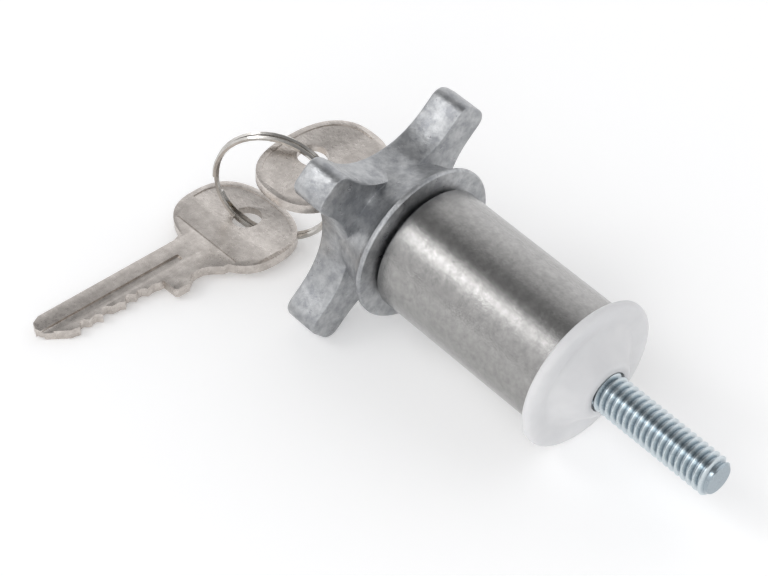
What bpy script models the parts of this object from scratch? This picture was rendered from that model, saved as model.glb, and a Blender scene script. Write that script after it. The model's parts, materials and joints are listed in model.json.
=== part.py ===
"""Keyed window lock: a star knob with a key cylinder, a free-spinning steel sleeve, a white end cap and a
threaded stud, lying on a table beside its two keys on a split ring.

Units are metres, +Z is up. The lock is modelled along the local +Z of the empty lock_axis, from the knob's
key face to the stud's tip, with local zero at the sleeve's knob end. The empty tilts the lock to the pose in
which it rests on a table: on two wings of the knob and on the end cap's rim."""

import math

import bmesh
import bpy
from mathutils import Matrix, Vector

MM = 0.001
GAP = 0.1 * MM  # clearance between pieces that touch or turn in each other
SEGMENTS = 64  # facets of a large round piece
SMALL_SEGMENTS = 24

# The sleeve and the end cap
SLEEVE_RADIUS = 13.0 * MM
SLEEVE_BORE = 11.2 * MM
SLEEVE_LENGTH = 41.6 * MM
CAP_RADIUS = 15.7 * MM
CAP_BACK = SLEEVE_LENGTH + GAP
CAP_NOSE = 48.05 * MM

# The stud
STUD_RADIUS = 3.97 * MM
STUD_ROOT = 3.15 * MM
STUD_TIP = 75.0 * MM
THREAD_START = 45.0 * MM
THREAD_PITCH = 1.411 * MM
SHANK_RADIUS = 3.9 * MM
DISC = (27.3 * MM, 30.3 * MM)  # the drive disc on the stud's inner end
DISC_RADIUS = 10.6 * MM
DRIVE_PIN_PLACE = 6.5 * MM

# The knob
WING_RADIUS = 26.3 * MM
WING_HALF_WIDTH = 4.1 * MM
WING_CORNER = 2.5 * MM
WING_FRONT = -7.6 * MM
WING_BACK = -15.5 * MM
VALLEY_RADIUS = 12.6 * MM
FLANGE_FRONT = -0.45 * MM
SPIGOT_RADIUS = SLEEVE_BORE - GAP
SPIGOT_END = 27.0 * MM
SPIGOT_BORE = 9.3 * MM
RECESS_RADIUS = 9.6 * MM
SNAP = (9.0 * MM, 10.0 * MM)  # the snap ring that holds the sleeve on the spigot

# The key cylinder
FACE = -8.0 * MM
CYLINDER_RADIUS = 8.6 * MM
CYLINDER_END = 20.0 * MM
PLUG_RADIUS = 6.0 * MM
TAIL_RADIUS = 4.2 * MM
TAIL_END = 23.5 * MM
KEYWAY_WIDTH = 2.8 * MM
KEYWAY_HEIGHT = 9.4 * MM
KEYWAY_END = 19.0 * MM
PIN_ALONG = -4.0 * MM
CLUTCH = (23.8 * MM, 26.3 * MM)
WAFER_COUNT = 5
WAFER_THICK = 0.8 * MM

# The rest pose: the wing corners and the cap's rim touch the table together
WING_FOOT = (WING_RADIUS + WING_HALF_WIDTH - 2 * WING_CORNER) * math.sin(math.pi / 4)
WING_FOOT += WING_CORNER
CAP_FOOT = 42.7 * MM
TILT = math.atan2(WING_FOOT - CAP_RADIUS, CAP_FOOT - (WING_FRONT - 0.4 * MM))
AXIS_HEIGHT = CAP_RADIUS * math.cos(TILT) + CAP_FOOT * math.sin(TILT)

# The keys, measured from the far end of the head, and the split ring
KEY_THICK = 2.1 * MM
HEAD_HALF_WIDTH = 13.4 * MM
HEAD_HALF_LENGTH = 10.2 * MM
NECK_HALF_WIDTH = 4.6 * MM
STOP = (27.4 * MM, 31.0 * MM)
STOP_REACH = 8.0 * MM
BLADE_HALF_WIDTH = 4.05 * MM
KEY_LENGTH = 57.6 * MM
KEY_HOLE = 7.3 * MM
KEY_HOLE_RADIUS = 3.1 * MM
BAND = (11.9 * MM, 17.4 * MM)
BITTING = (0.5, 1.5, 1.0, 1.7, 0.7, 1.4, 1.1, 0.4)
RING_RADIUS = 12.3 * MM
RING_WIRE = 0.55 * MM
RING_HEADING = math.radians(30.7)
RING_CENTRE = (-38.9 * MM, -3.9 * MM)
SPARE_HOLE = (-44.2 * MM, -7.1 * MM)
SPARE_PITCH = math.radians(1.98)
SPARE_HEADING = math.radians(-2.0)
DROOP = math.radians(-1.2)  # the working key sags in its keyway

COLLECTION = "keyed_window_lock"


def clear_scene():
    for obj in list(bpy.data.objects):
        bpy.data.objects.remove(obj)
    for name in (COLLECTION, "cutters"):
        collection = bpy.data.collections.new(name)
        bpy.context.scene.collection.children.link(collection)
    bpy.data.collections["cutters"].hide_render = True


def material(name, colour, metallic, roughness):
    found = bpy.data.materials.get(name)
    if found:
        return found
    made = bpy.data.materials.new(name)
    made.use_nodes = True
    shader = made.node_tree.nodes["Principled BSDF"]
    shader.inputs["Base Color"].default_value = (*colour, 1.0)
    shader.inputs["Metallic"].default_value = metallic
    shader.inputs["Roughness"].default_value = roughness
    made.diffuse_color = (*colour, 1.0)
    return made


def zinc():
    return material("cast_zinc", (0.62, 0.63, 0.65), 1.0, 0.42)


def steel():
    return material("sleeve_steel", (0.66, 0.65, 0.64), 1.0, 0.3)


def plated():
    return material("zinc_plate", (0.72, 0.76, 0.79), 1.0, 0.28)


def nickel():
    return material("nickel_plate", (0.72, 0.69, 0.66), 1.0, 0.35)


def brass():
    return material("brass", (0.72, 0.58, 0.32), 1.0, 0.35)


def spring_steel():
    return material("spring_steel", (0.5, 0.5, 0.5), 1.0, 0.3)


def polythene():
    return material("white_polythene", (0.86, 0.86, 0.87), 0.0, 0.45)


def add(name, mesh, look, parent, cutter=False):
    obj = bpy.data.objects.new(name, mesh)
    bpy.data.collections["cutters" if cutter else COLLECTION].objects.link(obj)
    obj.parent = parent
    if cutter:
        obj.hide_render = True
        obj.display_type = "WIRE"
    else:
        mesh.materials.append(look)
    return obj


def settled(obj):
    """Replaces the object's mesh by its evaluated one, closed and facing out, with no modifiers left."""
    bpy.context.view_layer.update()
    graph = bpy.context.evaluated_depsgraph_get()
    mesh = bpy.data.meshes.new_from_object(obj.evaluated_get(graph))
    work = bmesh.new()
    work.from_mesh(mesh)
    bmesh.ops.remove_doubles(work, verts=work.verts, dist=0.001 * MM)
    bmesh.ops.recalc_face_normals(work, faces=work.faces)
    work.to_mesh(mesh)
    work.free()
    mesh.name = obj.name
    if obj.type == "MESH":
        obj.modifiers.clear()
        obj.data = mesh
        return obj
    name = obj.name
    made = bpy.data.objects.new(name, mesh)
    for collection in obj.users_collection:
        collection.objects.link(made)
    made.parent = obj.parent
    made.matrix_basis = obj.matrix_basis.copy()
    made.hide_render = obj.hide_render
    made.display_type = obj.display_type
    bpy.data.objects.remove(obj)
    made.name = name
    return made


def smooth(obj, angle=35):
    obj.data.shade_smooth()
    obj.data.set_sharp_from_angle(angle=math.radians(angle))
    return obj


def turned(name, profile, look, parent, cutter=False, steps=SEGMENTS):
    """A piece turned about local Z. The profile is a closed loop of (radius, place along the axis)."""
    mesh = bpy.data.meshes.new(name)
    work = bmesh.new()
    verts = [work.verts.new((radius, 0, along)) for radius, along in profile]
    on_axis = profile[0][0] == 0 and profile[-1][0] == 0
    for i in range(len(verts) - 1):
        work.edges.new((verts[i], verts[i + 1]))
    if not on_axis:
        work.edges.new((verts[-1], verts[0]))
    work.to_mesh(mesh)
    work.free()
    obj = add(name, mesh, look, parent, cutter)
    screw = obj.modifiers.new("turn", "SCREW")
    screw.axis = "Z"
    screw.steps = screw.render_steps = steps
    screw.use_merge_vertices = True
    screw.merge_threshold = 0.002 * MM
    return smooth(settled(obj))


def plate(name, points, low, high, look, parent, holes=(), cutter=False):
    """A flat outline in local XY, with round or shaped holes, from low to high along Z."""
    curve = bpy.data.curves.new(name, "CURVE")
    curve.dimensions = "2D"
    curve.fill_mode = "BOTH"
    curve.extrude = (high - low) / 2
    for loop in (points, *holes):
        spline = curve.splines.new("POLY")
        spline.points.add(len(loop) - 1)
        for point, (x, y) in zip(spline.points, loop):
            point.co = (x, y, 0, 1)
        spline.use_cyclic_u = True
    obj = bpy.data.objects.new(name, curve)
    bpy.data.collections["cutters" if cutter else COLLECTION].objects.link(obj)
    obj.parent = parent
    obj.location = (0, 0, (high + low) / 2)
    if not cutter:
        curve.materials.append(look)
    obj.hide_render = cutter
    obj = settled(obj)
    obj.data.transform(obj.matrix_basis)
    obj.matrix_basis = Matrix.Identity(4)
    return obj


def boolean(obj, other, operation):
    modifier = obj.modifiers.new(operation.lower(), "BOOLEAN")
    modifier.operation = operation
    modifier.object = other
    modifier.solver = "EXACT"
    obj = settled(obj)
    bpy.data.objects.remove(other)
    return obj


def arc(cx, cy, radius, start, end, count):
    """Points along an arc, from start to end in degrees."""
    angles = [math.radians(start + (end - start) * i / count) for i in range(count + 1)]
    return [(cx + radius * math.cos(a), cy + radius * math.sin(a)) for a in angles]


def circle(radius, count=SMALL_SEGMENTS, cx=0.0, cy=0.0):
    return arc(cx, cy, radius, 0, 360, count)[:-1]


def wire(name, points, radius, look, parent, sides_level=1):
    """A round wire along the points, with closed ends."""
    curve = bpy.data.curves.new(name, "CURVE")
    curve.dimensions = "3D"
    curve.bevel_depth = radius
    curve.bevel_resolution = sides_level
    curve.use_fill_caps = True
    curve.materials.append(look)
    spline = curve.splines.new("POLY")
    spline.points.add(len(points) - 1)
    for point, place in zip(spline.points, points):
        point.co = (*place, 1)
    obj = bpy.data.objects.new(name, curve)
    bpy.data.collections[COLLECTION].objects.link(obj)
    obj.parent = parent
    return smooth(settled(obj), 60)


def star_outline(inset):
    """The knob's plan: four wings with rounded tips, joined by wide concave valleys."""
    half = WING_HALF_WIDTH - inset
    corner = WING_CORNER - inset
    centre = (VALLEY_RADIUS - WING_HALF_WIDTH) / (math.sqrt(2) - 1)
    inner = WING_RADIUS - WING_CORNER
    side = half - corner
    points = []
    for quarter in range(4):
        turn = (quarter + 0.5) * math.pi / 2
        local = arc(inner, -side, corner, -90, 0, 5)
        local += arc(inner, side, corner, 0, 90, 5)
        local += arc(centre, centre, centre - half, 270, 180, 16)
        cos, sin = math.cos(turn), math.sin(turn)
        points += [(x * cos - y * sin, x * sin + y * cos) for x, y in local]
    return points


def star_plate(parent):
    """The four wings, with rounded edges at the back and finer ones at the front."""
    steps = [(WING_BACK, 0.8), (WING_BACK + 0.24 * MM, 0.24), (WING_BACK + 0.8 * MM, 0)]
    steps += [(WING_FRONT - 0.4 * MM, 0), (WING_FRONT - 0.12 * MM, 0.12), (WING_FRONT, 0.4)]
    mesh = bpy.data.meshes.new("star_knob")
    work = bmesh.new()
    loops = []
    for along, inset in steps:
        outline = star_outline(inset * MM)
        loops.append([work.verts.new((x, y, along)) for x, y in outline])
    count = len(loops[0])
    for lower, upper in zip(loops, loops[1:]):
        for i in range(count):
            j = (i + 1) % count
            work.faces.new((lower[i], lower[j], upper[j], upper[i]))
    work.faces.new(loops[0][::-1])
    work.faces.new(loops[-1])
    bmesh.ops.remove_doubles(work, verts=work.verts, dist=0.001 * MM)
    bmesh.ops.recalc_face_normals(work, faces=work.faces)
    work.to_mesh(mesh)
    work.free()
    return add("star_knob", mesh, zinc(), parent)


def cylinder(name, radius, low, high, parent, look=None, steps=SMALL_SEGMENTS):
    profile = [(0, low), (radius, low), (radius, high), (0, high)]
    return turned(name, profile, look, parent, look is None, steps)


def cross_pin(name, radius, inner, outer, along, parent, look=None):
    """A round pin along local +X, which faces the table."""
    pin = cylinder(name, radius, inner, outer, parent, look, 16)
    turn = Matrix.Rotation(math.pi / 2, 4, "Y")
    pin.data.transform(Matrix.Translation((0, 0, along)) @ turn)
    return pin


def block(name, size, centre, look, parent):
    mesh = bpy.data.meshes.new(name)
    work = bmesh.new()
    bmesh.ops.create_cube(work, size=1)
    work.to_mesh(mesh)
    work.free()
    mesh.transform(Matrix.Diagonal((*size, 1)))
    mesh.transform(Matrix.Translation(centre))
    return add(name, mesh, look, parent, look is None)


def make_knob(parent):
    """The cast star knob: wings, flared waist, flange, and the hollow spigot that the sleeve turns on."""
    knob = star_plate(parent)
    waist = [(12.3, -13.0), (12.7, -11.0), (13.1, -9.0), (13.6, -7.0), (14.2, -5.0)]
    waist += [(14.8, -3.4), (15.4, -2.3), (16.0, -1.6), (16.4, -1.3), (16.4, -0.75)]
    waist += [(16.1, -0.45)]
    low, high = SNAP[0] - GAP, SNAP[1] + GAP
    groove = 10.3 * MM
    profile = [(0, WING_BACK + 1 * MM), (12.0 * MM, WING_BACK + 1 * MM)]
    profile += [(r * MM, z * MM) for r, z in waist]
    profile += [(SPIGOT_RADIUS, FLANGE_FRONT), (SPIGOT_RADIUS, low), (groove, low)]
    profile += [(groove, high), (SPIGOT_RADIUS, high)]
    profile += [(SPIGOT_RADIUS, SPIGOT_END), (0, SPIGOT_END)]
    knob = boolean(knob, turned("hub", profile, zinc(), parent), "UNION")
    bore = CYLINDER_RADIUS + GAP
    step = CYLINDER_END + 0.2 * MM
    profile = [(0, -20 * MM), (RECESS_RADIUS + 0.5 * MM, -20 * MM)]
    profile += [(RECESS_RADIUS + 0.5 * MM, WING_BACK + 0.5 * MM)]
    profile += [(RECESS_RADIUS, WING_BACK + 1 * MM), (RECESS_RADIUS, FACE - 0.2 * MM)]
    profile += [(bore, FACE - 0.2 * MM), (bore, step), (SPIGOT_BORE, step)]
    profile += [(SPIGOT_BORE, 30 * MM), (0, 30 * MM)]
    cutter = turned("stepped_bore", profile, None, parent, cutter=True)
    knob = boolean(knob, cutter, "DIFFERENCE")
    size = (20.6 * MM, 3.3 * MM, 10 * MM)
    slots = block("clutch_slots", size, (0, 0, 25.4 * MM), None, parent)
    knob = boolean(knob, slots, "DIFFERENCE")
    hole = cross_pin("pin_hole", 1.1 * MM, 8 * MM, 20 * MM, PIN_ALONG, parent)
    return smooth(boolean(knob, hole, "DIFFERENCE"), 30)


def make_cylinder(parent):
    """The key cylinder's fixed body, with a channel for the wafers on each side."""
    bore = PLUG_RADIUS + GAP
    profile = [(bore, FACE), (CYLINDER_RADIUS, FACE), (CYLINDER_RADIUS, CYLINDER_END)]
    profile += [(bore, CYLINDER_END)]
    body = turned("cylinder_body", profile, brass(), parent)
    size = (5.4 * MM, 14.6 * MM, 23 * MM)
    channel = block("wafer_channel", size, (0, 0, 5.5 * MM), None, parent)
    body = boolean(body, channel, "DIFFERENCE")
    hole = cross_pin("pin_seat", 1.1 * MM, 7.3 * MM, 20 * MM, PIN_ALONG, parent)
    body = boolean(body, hole, "DIFFERENCE")
    cross_pin("cylinder_pin", 1.0 * MM, 7.4 * MM, 12.4 * MM, PIN_ALONG, parent, steel())
    return smooth(body)


def wafer_place(i):
    return (-4.0 + 4.6 * i) * MM


def make_plug(parent):
    """The plug that the key turns: keyway, a slot for each wafer, and a grooved tail."""
    face = FACE + 0.05 * MM
    low, high = 20.2 * MM, 21.2 * MM
    profile = [(0, face), (PLUG_RADIUS - 0.3 * MM, face), (PLUG_RADIUS, face + 0.3 * MM)]
    profile += [(PLUG_RADIUS, CYLINDER_END), (TAIL_RADIUS, CYLINDER_END)]
    profile += [(TAIL_RADIUS, low), (3.5 * MM, low), (3.5 * MM, high)]
    profile += [(TAIL_RADIUS, high), (TAIL_RADIUS, TAIL_END), (0, TAIL_END)]
    plug = turned("key_plug", profile, nickel(), parent, steps=48)
    depth = KEYWAY_END + 12 * MM
    size = (KEYWAY_WIDTH, KEYWAY_HEIGHT, depth)
    keyway = block("keyway", size, (0, 0, KEYWAY_END - depth / 2), None, parent)
    plug = boolean(plug, keyway, "DIFFERENCE")
    for i in range(WAFER_COUNT):
        size = (5.0 * MM, 14 * MM, 1.0 * MM)
        slot = block(f"slot_{i}", size, (0, 0, wafer_place(i)), None, parent)
        plug = boolean(plug, slot, "DIFFERENCE")
    return smooth(plug)


def rectangle(half_x, half_y):
    return [(-half_x, -half_y), (half_x, -half_y), (half_x, half_y), (-half_x, half_y)]


def make_wafers(parent):
    """Sliding plates that the key's blade passes through and holds inside the plug."""
    outer = rectangle(2.4 * MM, 5.3 * MM)
    window = rectangle(1.45 * MM, 4.7 * MM)
    for i in range(WAFER_COUNT):
        low = wafer_place(i) - WAFER_THICK / 2
        name = f"wafer_{i + 1}"
        plate(name, outer, low, low + WAFER_THICK, brass(), parent, [window])


def open_ring(name, inner, outer, span, gap, look, parent):
    """A flat ring with a gap, in degrees."""
    start, end = gap / 2, 360 - gap / 2
    points = arc(0, 0, outer, start, end, 40) + arc(0, 0, inner, end, start, 40)
    return smooth(plate(name, points, *span, look, parent))


def make_clutch(parent):
    """The dog that the plug draws back, and the clips that hold the plug and the sleeve."""
    half = math.degrees(math.asin(1.5 / 9))
    reach, side = 10.1 * MM, 1.5 * MM
    points = arc(0, 0, 9 * MM, half, 180 - half, 20)
    points += [(-reach, side), (-reach, -side)]
    points += arc(0, 0, 9 * MM, 180 + half, 360 - half, 20)
    points += [(reach, -side), (reach, side)]
    dog = plate("clutch_dog", points, *CLUTCH, steel(), parent, [circle(4.5 * MM)])
    for sign in (-1, 1):
        low, high = CLUTCH[1] - 0.5 * MM, CLUTCH[1] + 2.9 * MM
        pin = cylinder("dog_pin", 1.0 * MM, low, high, parent, steel())
        pin.data.transform(Matrix.Translation((0, sign * DRIVE_PIN_PLACE, 0)))
        dog = boolean(dog, pin, "UNION")
    smooth(dog)
    clip = (20.3 * MM, 21.1 * MM)
    open_ring("plug_clip", 3.6 * MM, 6.4 * MM, clip, 70, spring_steel(), parent)


def make_sleeve(parent):
    inner, outer = SLEEVE_BORE, SLEEVE_RADIUS
    low, high = SNAP[0] - GAP, SNAP[1] + GAP
    groove = 11.7 * MM
    profile = [(inner, 0), (outer - 0.9 * MM, 0), (outer, 0.9 * MM)]
    profile += [(outer, SLEEVE_LENGTH - 0.3 * MM), (outer - 0.3 * MM, SLEEVE_LENGTH)]
    profile += [(inner, SLEEVE_LENGTH), (inner, high), (groove, high), (groove, low)]
    profile += [(inner, low)]
    turned("sleeve", profile, steel(), parent, steps=72)
    open_ring("snap_ring", 10.4 * MM, 11.6 * MM, SNAP, 30, spring_steel(), parent)


def make_cap(parent):
    """The end cap: a plug in the sleeve, a rimmed flange and a raised cone round the stud."""
    bore = 4.25 * MM
    fit = SLEEVE_BORE - 0.05 * MM
    face = [(15.7, 42.0), (15.7, 42.7), (15.5, 43.1), (15.1, 43.4), (14.6, 43.5)]
    face += [(12.0, 43.5), (11.5, 43.35), (10.9, 43.35), (9.9, 43.8), (8.8, 44.6)]
    face += [(7.8, 45.6), (6.9, 46.6), (6.1, 47.5), (5.6, 47.9), (5.0, 48.05)]
    profile = [(bore, 36.2 * MM), (fit, 36.2 * MM), (fit, CAP_BACK)]
    profile += [(15.4 * MM, CAP_BACK)] + [(r * MM, z * MM) for r, z in face]
    profile += [(bore, CAP_NOSE)]
    cap = turned("end_cap", profile, polythene(), parent, steps=72)
    smooth(cap, 28)
    profile = [(4.15 * MM, 31.8 * MM), (11.1 * MM, 31.8 * MM), (11.1 * MM, 35.9 * MM)]
    profile += [(4.15 * MM, 35.9 * MM)]
    turned("bearing_bush", profile, brass(), parent)
    ring = circle(10.4 * MM, 48)
    span = (30.6 * MM, 31.5 * MM)
    plate("thrust_washer", ring, *span, polythene(), parent, [circle(4.15 * MM)])


def thread_mesh(name):
    """A helical ridge that runs out at a chamfered tip, on a plain shank."""
    section = ((0.0, 0.0), (0.16, 0.0), (0.5, 1.0), (0.66, 1.0))
    per_turn = 28
    turns = math.ceil((STUD_TIP - THREAD_START) / THREAD_PITCH) + 2
    mesh = bpy.data.meshes.new(name)
    work = bmesh.new()
    columns = []
    for j in range(per_turn):
        turn = j / per_turn
        angle = 2 * math.pi * turn
        places = [(SHANK_RADIUS, DISC[0] + 0.3 * MM), (SHANK_RADIUS, THREAD_START - 1 * MM)]
        for k in range(-1, turns):
            for offset, height in section:
                z = THREAD_START + THREAD_PITCH * (k + turn + offset)
                radius = STUD_ROOT + (STUD_RADIUS - STUD_ROOT) * height
                z = min(max(z, THREAD_START), STUD_TIP)
                if z == THREAD_START:
                    radius = STUD_ROOT
                places.append((min(radius, 3.0 * MM + STUD_TIP - z), z))
        cos, sin = math.cos(angle), math.sin(angle)
        columns.append([work.verts.new((r * cos, r * sin, z)) for r, z in places])
    last = columns[0][:2] + columns[0][6:]
    for j in range(per_turn):
        left = columns[j]
        right = columns[j + 1] if j + 1 < per_turn else last
        for i in range(len(right) - 1):
            work.faces.new((left[i], right[i], right[i + 1], left[i + 1]))
    final = columns[0][-1]
    left = columns[-1]
    for i in range(len(last) - 1, len(left) - 1):
        work.faces.new((left[i], final, left[i + 1]))
    bmesh.ops.remove_doubles(work, verts=work.verts, dist=0.0005 * MM)
    for z in (DISC[0] + 0.3 * MM, STUD_TIP):
        edges = [
            edge
            for edge in work.edges
            if edge.is_boundary and all(abs(v.co.z - z) < 0.01 * MM for v in edge.verts)
        ]
        bmesh.ops.contextual_create(work, geom=edges)
    bmesh.ops.recalc_face_normals(work, faces=work.faces)
    work.to_mesh(mesh)
    work.free()
    return mesh


def make_spindle(parent):
    """The threaded stud with the drive disc pinned on its inner end."""
    along = sum(DISC) / 2
    stud = add("threaded_stud", thread_mesh("threaded_stud"), plated(), parent)
    hole = cross_pin("stud_hole", 1.0 * MM, -20 * MM, 20 * MM, along, parent)
    smooth(boolean(stud, hole, "DIFFERENCE"), 25)
    holes = [circle(4.0 * MM)]
    for sign in (-1, 1):
        holes.append(circle(1.25 * MM, 16, 0, sign * DRIVE_PIN_PLACE))
    disc = plate("drive_disc", circle(DISC_RADIUS, 48), *DISC, steel(), parent, holes)
    hole = cross_pin("disc_hole", 1.0 * MM, -20 * MM, 20 * MM, along, parent)
    smooth(boolean(disc, hole, "DIFFERENCE"))
    cross_pin("drive_pin", 0.9 * MM, -9 * MM, 9 * MM, along, parent, spring_steel())


def head_point(angle, scale=1.0):
    """A point on the key head's rounded outline."""
    cos, sin = math.cos(angle), math.sin(angle)
    x = math.copysign(abs(cos) ** (2 / 2.5), cos)
    y = math.copysign(abs(sin) ** (2 / 2.5), sin)
    x = HEAD_HALF_LENGTH * (1 + x * scale)
    return x, y * (HEAD_HALF_WIDTH - (1 - scale) * HEAD_HALF_LENGTH)


def key_outline():
    start, end = math.radians(36), math.radians(347)
    count = 44
    points = [head_point(start + (end - start) * i / count) for i in range(count + 1)]
    tip = [(55.2, -4.05), (57.0, -3.1), (57.6, -1.5), (57.3, -0.3), (56.5, 0.6)]
    points += [(20.9 * MM, -NECK_HALF_WIDTH), (22.4 * MM, -BLADE_HALF_WIDTH)]
    points += [(x * MM, y * MM) for x, y in tip]
    cuts = [53.0 * MM - 2.7 * MM * i for i in range(len(BITTING))]
    for place, depth in zip(cuts, BITTING):
        points += [(place - dx * MM, BLADE_HALF_WIDTH - d * MM) for dx, d in
                   ((0.3, depth), (1.1, depth), (2.0, max(depth - 0.9, 0.1)))]
    points += [(STOP[1] + 0.1 * MM, BLADE_HALF_WIDTH), (STOP[1], STOP_REACH - 0.5 * MM)]
    points += [(STOP[1] - 0.5 * MM, STOP_REACH), (STOP[0] + 0.5 * MM, STOP_REACH)]
    neck = [(26.7, 7.0), (25.7, 6.3), (24.5, 6.1), (23.2, 6.3), (22.0, 6.9)]
    neck += [(20.9, 7.8), (19.9, 8.7)]
    return points + [(x * MM, y * MM) for x, y in neck]


def clipped(low, high):
    """The part of the head's inset outline that lies between two places along the key."""
    points = [head_point(2 * math.pi * i / 84, 0.885) for i in range(84)]
    return [(x, y) for x, y in points if low < x < high]


def make_key(name, parent):
    """A flat key: rounded head with sunk panels and a plain band, stop lug, cut blade with a groove."""
    half = KEY_THICK / 2
    hole = circle(KEY_HOLE_RADIUS, 30, KEY_HOLE)
    key = plate(name, key_outline(), -half, half, nickel(), parent, [hole])
    for side in (-1, 1):
        low = side * half - 0.22 * MM
        high = side * half + 0.22 * MM
        sunk = plate("panel", clipped(0.5 * MM, BAND[0]), low, high, None, parent, (), True)
        key = boolean(key, sunk, "DIFFERENCE")
        size = (0.35 * MM, 2 * HEAD_HALF_WIDTH - 8 * MM, 0.3 * MM)
        line = block("line", size, (BAND[1], 0, side * half), None, parent)
        key = boolean(key, line, "DIFFERENCE")
        size = (36 * MM, 1.7 * MM, 1.0 * MM)
        centre = (42.4 * MM, side * 0.6 * MM, side * half)
        groove = block("blade_groove", size, centre, None, parent)
        key = boolean(key, groove, "DIFFERENCE")
    return smooth(key, 30)


def ring_points():
    """Two turns side by side, crossing over where the ends tuck in."""
    points = []
    count = 84
    for i in range(count + 1):
        turn = i / count
        angle = math.radians(200) + 4 * math.pi * turn * 0.97
        blend = min(max((turn - 0.44) / 0.12, 0), 1)
        blend = blend * blend * (3 - 2 * blend)
        offset = (blend - 0.5) * 2 * (RING_WIRE + 0.06 * MM)
        points.append((RING_RADIUS * math.cos(angle), RING_RADIUS * math.sin(angle), offset))
    return points


def empty(name, matrix):
    made = bpy.data.objects.new(name, None)
    bpy.data.collections[COLLECTION].objects.link(made)
    made.empty_display_size = 5 * MM
    made.matrix_basis = matrix
    return made


def make_keys(lock):
    """The working key in the plug, the spare on the table, and the split ring that joins them."""
    turn = Matrix(((0, 0, -1, 0), (0, 1, 0, 0), (1, 0, 0, 0), (0, 0, 0, 1)))
    pivot = Matrix.Translation((0, 0, FACE + 13 * MM))
    droop = pivot @ Matrix.Rotation(DROOP, 4, "Y") @ pivot.inverted()
    place = droop @ Matrix.Translation((0, 0, FACE - STOP[1] - 0.3 * MM))
    working = empty("working_key_place", lock.matrix_basis @ place @ turn)
    make_key("working_key", working)
    pitch = Matrix.Rotation(SPARE_PITCH, 4, "Y")
    heading = Matrix.Rotation(-math.pi / 2 + SPARE_HEADING, 4, "Z")
    drop = (KEY_LENGTH - KEY_HOLE) * math.sin(SPARE_PITCH)
    height = drop + KEY_THICK / 2 * math.cos(SPARE_PITCH)
    place = Matrix.Translation((*SPARE_HOLE, height)) @ heading @ pitch
    place = place @ Matrix.Translation((-KEY_HOLE, 0, 0))
    make_key("spare_key", empty("spare_key_place", place))
    heading = Matrix.Rotation(RING_HEADING, 4, "Z") @ Matrix.Rotation(math.pi / 2, 4, "X")
    height = RING_RADIUS + RING_WIRE
    ring = empty("ring_place", Matrix.Translation((*RING_CENTRE, height)) @ heading)
    wire("split_ring", ring_points(), RING_WIRE, spring_steel(), ring)


def centre_on_table():
    """Moves everything so that the whole stands on Z = 0 with its middle over the origin."""
    bpy.context.view_layer.update()
    low = Vector((1e9,) * 3)
    high = -low
    for obj in bpy.data.collections[COLLECTION].objects:
        if obj.type == "MESH":
            for vert in obj.data.vertices:
                point = obj.matrix_world @ vert.co
                low = Vector(map(min, low, point))
                high = Vector(map(max, high, point))
    shift = Vector((-(low.x + high.x) / 2, -(low.y + high.y) / 2, -low.z))
    for obj in bpy.data.collections[COLLECTION].objects:
        if obj.parent is None:
            obj.location += shift
    bpy.context.view_layer.update()


def build():
    clear_scene()
    tilt = Matrix.Rotation(math.pi / 2 + TILT, 4, "Y")
    lock = empty("lock_axis", Matrix.Translation((0, 0, AXIS_HEIGHT)) @ tilt)
    make_knob(lock)
    make_cylinder(lock)
    make_plug(lock)
    make_wafers(lock)
    make_clutch(lock)
    make_sleeve(lock)
    make_cap(lock)
    make_spindle(lock)
    make_keys(lock)
    centre_on_table()


build()
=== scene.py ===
"""The keyed window lock at rest on a pale table, with its finishes, the studio light and the camera."""

import json
import math

import bpy
from mathutils import Matrix, Vector

MM = 0.001
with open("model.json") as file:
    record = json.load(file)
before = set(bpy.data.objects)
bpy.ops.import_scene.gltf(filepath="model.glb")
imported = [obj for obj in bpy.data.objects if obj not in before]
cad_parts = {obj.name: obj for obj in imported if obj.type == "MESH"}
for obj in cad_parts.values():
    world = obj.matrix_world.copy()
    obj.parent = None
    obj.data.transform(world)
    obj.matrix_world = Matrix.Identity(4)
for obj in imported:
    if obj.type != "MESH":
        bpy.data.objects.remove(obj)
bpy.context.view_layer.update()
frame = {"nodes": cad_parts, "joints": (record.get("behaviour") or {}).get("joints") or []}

# The lock's own axis, from the knob's key face towards the stud's tip, and two directions square to it
KNOB_TURN = next(joint for joint in frame["joints"] if joint["name"] == "knob_turn")
AXIS = Vector(KNOB_TURN["axis"])
AXIS_START = Vector(KNOB_TURN["pos_m"])
ACROSS = Vector((0, 1, 0))
DOWN = ACROSS.cross(AXIS)

# The thread's roots and crests, roughly, as radii from that axis, between which the painted shade in
# the roots fades out
THREAD_ROOT = 3.2 * MM
THREAD_CREST = 3.95 * MM

# The keys
KEY_LENGTH = 57.6 * MM
PANEL_END = 11.9 * MM  # from the far end of the head
KEY_EDGE = 0.14 * MM
DROOP = math.radians(-1.2)  # the working key sags in its keyway
SPARE_HEADING = math.radians(-92)  # from +X, seen from above
SPARE_PITCH = math.radians(1.98)  # the tip touches the table and the head is lifted

# Rounded edges on the other pieces, and the welding of every piece
KNOB_EDGE = 0.25 * MM
SLEEVE_EDGE = 0.2 * MM
CYLINDER_EDGE = 0.08 * MM
WELD_DISTANCE = 0.001 * MM

# The floor and the lights: places and sizes in metres, power in watts
FLOOR_HALF = 6.0
FLOOR_GLOW = 0.2
LIGHT_AIM = Vector((0, 0.02, 0.02))
LIGHTS = (
    ("key_light", Vector((-0.37, -0.40, 0.54)), (0.3, 0.18), 0.42),
    ("side_light", Vector((0.55, -0.55, 0.35)), (0.35, 0.5), 0.8),
)

# Soft light from across the lock: degrees from straight up towards -Y, and brightness there
SKY = (
    (-90, 0.6),
    (-60, 0.56),
    (-25, 0.33),
    (-6, 0.14),
    (15, 0.17),
    (26, 0.4),
    (33, 1.0),
    (40, 0.6),
    (58, 0.55),
    (90, 0.4),
)
SKY_STRENGTH = 2.0
SKY_BLUE = 1.01  # blue against red and green

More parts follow.
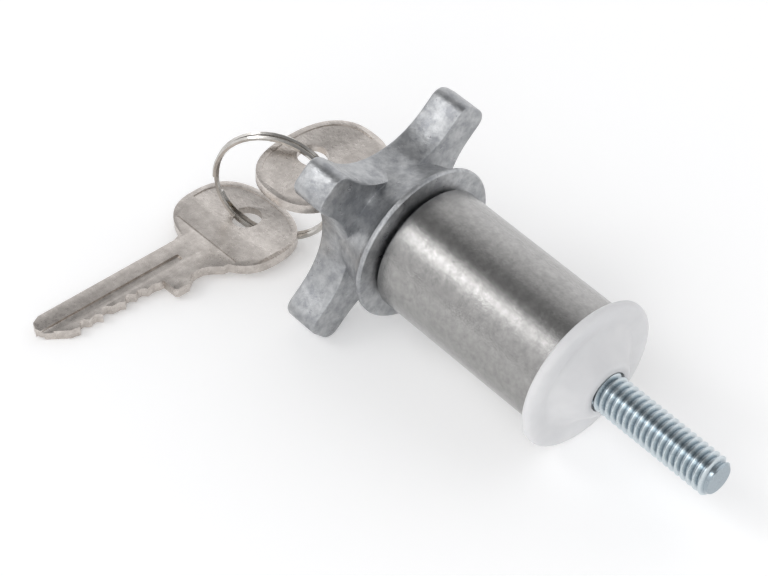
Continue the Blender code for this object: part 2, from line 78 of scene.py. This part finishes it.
# The camera: its place from AXIS_START, the turn of its right-hand side from +X, how far down it looks
CAMERA_PLACE = Vector((282.3, -269.6, 329.4)) * MM
CAMERA_TURN = math.radians(47.458)
CAMERA_DIP = math.radians(41.056)
CAMERA_LENS = 127.6
CAMERA_SENSOR = 36
CAMERA_NEAR = 10 * MM


class Nodes:
    """A short way to lay out one material's nodes."""

    def __init__(self, name, metallic):
        self.material = bpy.data.materials.new(name)
        self.material.use_nodes = True
        self.tree = self.material.node_tree
        self.shader = self.tree.nodes["Principled BSDF"]
        self.set("Metallic", metallic)
        self.place = self.tree.nodes.new("ShaderNodeTexCoord").outputs["Object"]

    def set(self, socket, value):
        self.shader.inputs[socket].default_value = value

    def link(self, source, target):
        self.tree.links.new(source, target)

    def along(self, start, axis):
        """The distance from start along an axis, in metres."""
        shift = self.tree.nodes.new("ShaderNodeVectorMath")
        shift.operation = "SUBTRACT"
        shift.inputs[1].default_value = start
        self.link(self.place, shift.inputs[0])
        dot = self.tree.nodes.new("ShaderNodeVectorMath")
        dot.operation = "DOT_PRODUCT"
        dot.inputs[1].default_value = axis
        self.link(shift.outputs[0], dot.inputs[0])
        return dot.outputs["Value"]

    def join(self, x, y, z):
        made = self.tree.nodes.new("ShaderNodeCombineXYZ")
        for socket, source in zip(made.inputs, (x, y, z)):
            self.link(source, socket)
        return made.outputs[0]

    def maths(self, kind, a, b=None):
        """One operation on links or plain numbers."""
        made = self.tree.nodes.new("ShaderNodeMath")
        made.operation = kind
        for socket, value in zip(made.inputs, (a, b)):
            if value is None:
                continue
            if isinstance(value, (int, float)):
                socket.default_value = value
            else:
                self.link(value, socket)
        return made.outputs[0]

    def noise(self, scale, detail, roughness=0.55, vector=None):
        made = self.tree.nodes.new("ShaderNodeTexNoise")
        made.inputs["Scale"].default_value = scale
        made.inputs["Detail"].default_value = detail
        made.inputs["Roughness"].default_value = roughness
        self.link(vector or self.place, made.inputs["Vector"])
        return made.outputs["Fac"]

    def spread(self, value, low, high, start=0.3, end=0.7):
        """Maps value, from start to end, onto low to high."""
        made = self.tree.nodes.new("ShaderNodeMapRange")
        made.inputs["From Min"].default_value = start
        made.inputs["From Max"].default_value = end
        made.inputs["To Min"].default_value = low
        made.inputs["To Max"].default_value = high
        self.link(value, made.inputs["Value"])
        return made.outputs["Result"]

    def tint(self, value, dark, light, start=0.35, end=0.65):
        """Colours the surface from dark, where value is start, to light, where it is end."""
        ramp = self.tree.nodes.new("ShaderNodeValToRGB")
        ramp.color_ramp.elements[0].position = start
        ramp.color_ramp.elements[1].position = end
        ramp.color_ramp.elements[0].color = (*dark, 1)
        ramp.color_ramp.elements[1].color = (*light, 1)
        self.link(value, ramp.inputs[0])
        self.link(ramp.outputs[0], self.shader.inputs["Base Color"])

    def rough(self, value, low, high):
        self.link(self.spread(value, low, high), self.shader.inputs["Roughness"])

    def bump(self, height, distance, strength, under=None):
        """Bumps the surface, on top of another bump where under is given."""
        made = self.tree.nodes.new("ShaderNodeBump")
        made.inputs["Strength"].default_value = strength
        made.inputs["Distance"].default_value = distance
        self.link(height, made.inputs["Height"])
        if under is not None:
            self.link(under, made.inputs["Normal"])
        self.link(made.outputs[0], self.shader.inputs["Normal"])
        return made.outputs[0]


def cast_alloy():
    """Bare casting: wide soft waves under a fine grain."""
    m = Nodes("cast_alloy", metallic=1.0)
    mottle = m.noise(420, detail=7, roughness=0.7)
    m.tint(mottle, (0.3, 0.308, 0.322), (0.48, 0.487, 0.494), start=0.38, end=0.62)
    m.rough(m.noise(520, detail=4), 0.26, 0.42)
    wide = m.bump(m.noise(170, detail=3, roughness=0.5), distance=0.4 * MM, strength=0.4)
    m.bump(m.noise(1300, detail=5, roughness=0.7), distance=0.09 * MM, strength=0.9, under=wide)
    return m.material


def drawn_steel():
    """Tube with faint streaks along it and a fine mottle."""
    m = Nodes("sleeve_steel", metallic=1.0)
    lines = m.join(
        m.maths("MULTIPLY", m.along(AXIS_START, AXIS), 0.06),  # which draws the noise out lengthways
        m.along(AXIS_START, ACROSS),
        m.along(AXIS_START, DOWN),
    )
    streaks = m.noise(900, detail=5, roughness=0.6, vector=lines)
    mottle = m.noise(700, detail=7, roughness=0.75)
    m.tint(mottle, (0.31, 0.306, 0.3), (0.41, 0.404, 0.395), start=0.36, end=0.64)
    both = m.maths("ADD", m.noise(1100, detail=5, roughness=0.7), streaks)
    m.rough(m.maths("MULTIPLY", both, 0.5), 0.1, 0.22)
    wide = m.bump(streaks, distance=0.03 * MM, strength=0.7)
    m.bump(m.noise(2400, detail=6, roughness=0.8), distance=0.05 * MM, strength=0.8, under=wide)
    return m.material


def plain_metal(name, colour, roughness):
    """One colour with a light grain."""
    m = Nodes(name, metallic=1.0)
    dim = tuple(0.82 * c for c in colour)
    m.tint(m.noise(300, detail=4), dim, colour)
    m.rough(m.noise(900, detail=3), 0.7 * roughness, 1.25 * roughness)
    m.bump(m.noise(1800, detail=3, roughness=0.6), distance=0.03 * MM, strength=0.7)
    return m.material


def thread_metal_root_shade():
    """Bright plate, with painted shade darkening it from the crests into the thread's roots."""
    m = Nodes("zinc_plate", metallic=1.0)
    sides = m.along(AXIS_START, ACROSS), m.along(AXIS_START, DOWN)
    squares = [m.maths("MULTIPLY", side, side) for side in sides]
    radius = m.maths("SQRT", m.maths("ADD", *squares))
    # Painted shade: the plate's colour darkens towards the thread's roots, going by the radius from the
    # axis
    height = m.spread(radius, 0, 1, start=THREAD_ROOT, end=THREAD_CREST)
    m.tint(height, (0.36, 0.42, 0.46), (0.6, 0.66, 0.69), start=0.1, end=0.7)
    m.rough(m.noise(1200, detail=3), 0.16, 0.3)
    m.bump(m.noise(1800, detail=3, roughness=0.6), distance=0.03 * MM, strength=0.6)
    return m.material


def polythene():
    """Waxy white plastic, in which light spreads a little under the surface."""
    m = Nodes("white_polythene", metallic=0.0)
    m.tint(m.noise(120, detail=3), (0.64, 0.642, 0.652), (0.7, 0.7, 0.706))
    m.set("Subsurface Weight", 0.3)
    m.set("Subsurface Radius", (1.0, 1.0, 1.0))
    m.set("Subsurface Scale", 2.2 * MM)
    m.rough(m.noise(300, detail=3), 0.34, 0.48)
    m.bump(m.noise(240, detail=3, roughness=0.5), distance=0.12 * MM, strength=0.5)
    return m.material


def key_metal(name, direction):
    """Nickel plate with a light grain, pitted from the head's far end to the end of its sunk panel."""
    m = Nodes(name + "_nickel", metallic=1.0)
    tip = max(vertex.co.dot(direction) for vertex in frame["nodes"][name].data.vertices)
    from_head = m.along((tip - KEY_LENGTH) * direction, direction)
    panel = m.maths("LESS_THAN", from_head, PANEL_END)
    pits = m.noise(1300, detail=4, roughness=0.7)
    grain = m.noise(1200, detail=4, roughness=0.6)
    wear = m.noise(500, detail=6, roughness=0.7)
    worn = m.maths("ADD", wear, m.maths("MULTIPLY", panel, 0.08))
    m.tint(worn, (0.5, 0.462, 0.43), (0.67, 0.625, 0.585), start=0.38, end=0.66)
    m.rough(grain, 0.22, 0.4)
    wide = m.bump(m.maths("MULTIPLY", pits, panel), distance=0.2 * MM, strength=0.6)
    m.bump(grain, distance=0.04 * MM, strength=0.6, under=wide)
    return m.material


def smoothing():
    """The node group that keeps a mesh smooth except at edges sharper than its angle."""
    group = bpy.data.node_groups.get("smooth_by_angle")
    if group is not None:
        return group
    group = bpy.data.node_groups.new("smooth_by_angle", "GeometryNodeTree")
    group.interface.new_socket("Geometry", in_out="INPUT", socket_type="NodeSocketGeometry")
    group.interface.new_socket("Angle", in_out="INPUT", socket_type="NodeSocketFloat")
    group.interface.new_socket("Geometry", in_out="OUTPUT", socket_type="NodeSocketGeometry")
    start = group.nodes.new("NodeGroupInput")
    end = group.nodes.new("NodeGroupOutput")
    edge = group.nodes.new("GeometryNodeInputMeshEdgeAngle")
    compare = group.nodes.new("FunctionNodeCompare")
    compare.data_type = "FLOAT"
    compare.operation = "LESS_EQUAL"
    shade = group.nodes.new("GeometryNodeSetShadeSmooth")
    shade.domain = "EDGE"
    group.links.new(edge.outputs["Unsigned Angle"], compare.inputs["A"])
    group.links.new(start.outputs["Angle"], compare.inputs["B"])
    group.links.new(start.outputs["Geometry"], shade.inputs["Geometry"])
    group.links.new(compare.outputs["Result"], shade.inputs["Shade Smooth"])
    group.links.new(shade.outputs["Geometry"], end.inputs["Geometry"])
    return group


def finish(name, material, smooth=30, bevel=0.0, bevel_angle=30, segments=2):
    """Gives a node its material and slot, rounded edges and smooth shading. Angles are in degrees."""
    node = frame["nodes"][name]
    node.data.materials.clear()
    node.data.materials.append(material)
    weld = node.modifiers.new("weld", "WELD")
    weld.merge_threshold = WELD_DISTANCE
    if bevel:
        edges = node.modifiers.new("edges", "BEVEL")
        edges.width = bevel
        edges.segments = segments
        edges.limit_method = "ANGLE"
        edges.angle_limit = math.radians(bevel_angle)
        edges.harden_normals = False
        edges.use_clamp_overlap = True
    for polygon in node.data.polygons:
        polygon.use_smooth = True
    modifier = node.modifiers.new("smooth", "NODES")
    modifier.node_group = smoothing()
    socket = next(i for i in modifier.node_group.interface.items_tree if i.name == "Angle")
    modifier[socket.identifier] = math.radians(smooth)


def key_directions():
    """Each key's direction from head to tip."""
    pitch = Matrix.Rotation(SPARE_PITCH, 3, "Y")
    heading = Matrix.Rotation(SPARE_HEADING, 3, "Z")
    return {
        "working_key": Matrix.Rotation(DROOP, 3, "Y") @ AXIS,
        "spare_key": heading @ pitch @ Vector((1, 0, 0)),
    }


def dress():
    """Gives every node its finish."""
    white = polythene()
    plug = plain_metal("plug_nickel", (0.7, 0.67, 0.63), 0.3)
    brass = plain_metal("cylinder_brass", (0.75, 0.59, 0.32), 0.32)
    ring = plain_metal("ring_steel", (0.62, 0.6, 0.57), 0.14)
    hidden = plain_metal("hidden_steel", (0.5, 0.5, 0.51), 0.35)
    spring = plain_metal("spring_steel", (0.36, 0.36, 0.38), 0.3)
    wafer = plain_metal("wafer_brass", (0.78, 0.62, 0.34), 0.3)
    finish("star_knob", cast_alloy(), 34, KNOB_EDGE, bevel_angle=32, segments=3)
    finish("sleeve", drawn_steel(), 30, SLEEVE_EDGE, segments=3)
    finish("end_cap", white, 50)
    finish("threaded_stud", thread_metal_root_shade(), 28)
    for name, direction in key_directions().items():
        finish(name, key_metal(name, direction), 32, KEY_EDGE)
    finish("split_ring", ring, 50)
    finish("key_plug", plug, bevel=CYLINDER_EDGE)
    finish("cylinder_body", brass, bevel=CYLINDER_EDGE)
    finish("bearing_bush", brass)
    finish("thrust_washer", white)
    for name in ("cylinder_pin", "clutch_dog", "drive_disc", "drive_pin"):
        finish(name, hidden)
    for name in ("snap_ring", "plug_clip"):
        finish(name, spring)
    for i in range(1, 6):
        finish(f"wafer_{i}", wafer)


def paper():
    made = bpy.data.materials.new("paper")
    made.use_nodes = True
    shader = made.node_tree.nodes["Principled BSDF"]
    shader.inputs["Base Color"].default_value = (0.93, 0.93, 0.93, 1)
    shader.inputs["Roughness"].default_value = 0.9
    shader.inputs["Specular IOR Level"].default_value = 0.1
    shader.inputs["Emission Color"].default_value = (1, 1, 1, 1)
    shader.inputs["Emission Strength"].default_value = FLOOR_GLOW
    return made


def lay_floor():
    mesh = bpy.data.meshes.new("floor")
    half = FLOOR_HALF
    corners = [(-half, -half, 0), (half, -half, 0), (half, half, 0), (-half, half, 0)]
    mesh.from_pydata(corners, [], [(0, 1, 2, 3)])
    mesh.materials.append(paper())
    floor = bpy.data.objects.new("floor", mesh)
    bpy.context.scene.collection.objects.link(floor)


def fill_ramp(ramp):
    """Gives a colour ramp one stop for each row of SKY."""
    while len(ramp.elements) > 1:
        ramp.elements.remove(ramp.elements[0])
    for i, (degrees, level) in enumerate(SKY):
        position = (degrees + 90) / 180
        if i:
            stop = ramp.elements.new(position)
        else:
            stop = ramp.elements[0]
            stop.position = position
        stop.color = (level, level, SKY_BLUE * level, 1)


def light_sky():
    """A world whose brightness goes by the angle from straight up towards -Y."""
    world = bpy.data.worlds.new("studio")
    bpy.context.scene.world = world
    world.use_nodes = True
    tree = world.node_tree
    place = tree.nodes.new("ShaderNodeTexCoord")
    apart = tree.nodes.new("ShaderNodeSeparateXYZ")
    flip = tree.nodes.new("ShaderNodeMath")
    flip.operation = "MULTIPLY"
    flip.inputs[1].default_value = -1
    angle = tree.nodes.new("ShaderNodeMath")
    angle.operation = "ARCTAN2"
    share = tree.nodes.new("ShaderNodeMapRange")
    share.inputs["From Min"].default_value = -math.pi / 2
    share.inputs["From Max"].default_value = math.pi / 2
    ramp = tree.nodes.new("ShaderNodeValToRGB")
    fill_ramp(ramp.color_ramp)
    back = tree.nodes["Background"]
    back.inputs["Strength"].default_value = SKY_STRENGTH
    tree.links.new(place.outputs["Generated"], apart.inputs[0])
    tree.links.new(apart.outputs["Y"], flip.inputs[0])
    tree.links.new(flip.outputs[0], angle.inputs[0])
    tree.links.new(apart.outputs["Z"], angle.inputs[1])
    tree.links.new(angle.outputs[0], share.inputs["Value"])
    tree.links.new(share.outputs["Result"], ramp.inputs[0])
    tree.links.new(ramp.outputs[0], back.inputs["Color"])


def add_light(name, place, size, power):
    """A soft rectangular light that faces the lock."""
    light = bpy.data.lights.new(name, "AREA")
    light.shape = "RECTANGLE"
    light.size, light.size_y = size
    light.energy = power
    obj = bpy.data.objects.new(name, light)
    bpy.context.scene.collection.objects.link(obj)
    obj.location = place
    obj.rotation_euler = (LIGHT_AIM - place).to_track_quat("-Z", "Y").to_euler()


def studio():
    lay_floor()
    light_sky()
    for name, place, size, power in LIGHTS:
        add_light(name, place, size, power)
    bpy.context.scene.view_settings.view_transform = "Standard"  # which keeps the floor near white


def camera():
    data = bpy.data.cameras.new("camera")
    data.lens = CAMERA_LENS
    data.sensor_width = CAMERA_SENSOR
    data.clip_start = CAMERA_NEAR
    obj = bpy.data.objects.new("camera", data)
    bpy.context.scene.collection.objects.link(obj)
    obj.location = AXIS_START + CAMERA_PLACE
    obj.rotation_euler = (math.pi / 2 - CAMERA_DIP, 0, CAMERA_TURN)
    bpy.context.scene.camera = obj


dress()
studio()
camera()
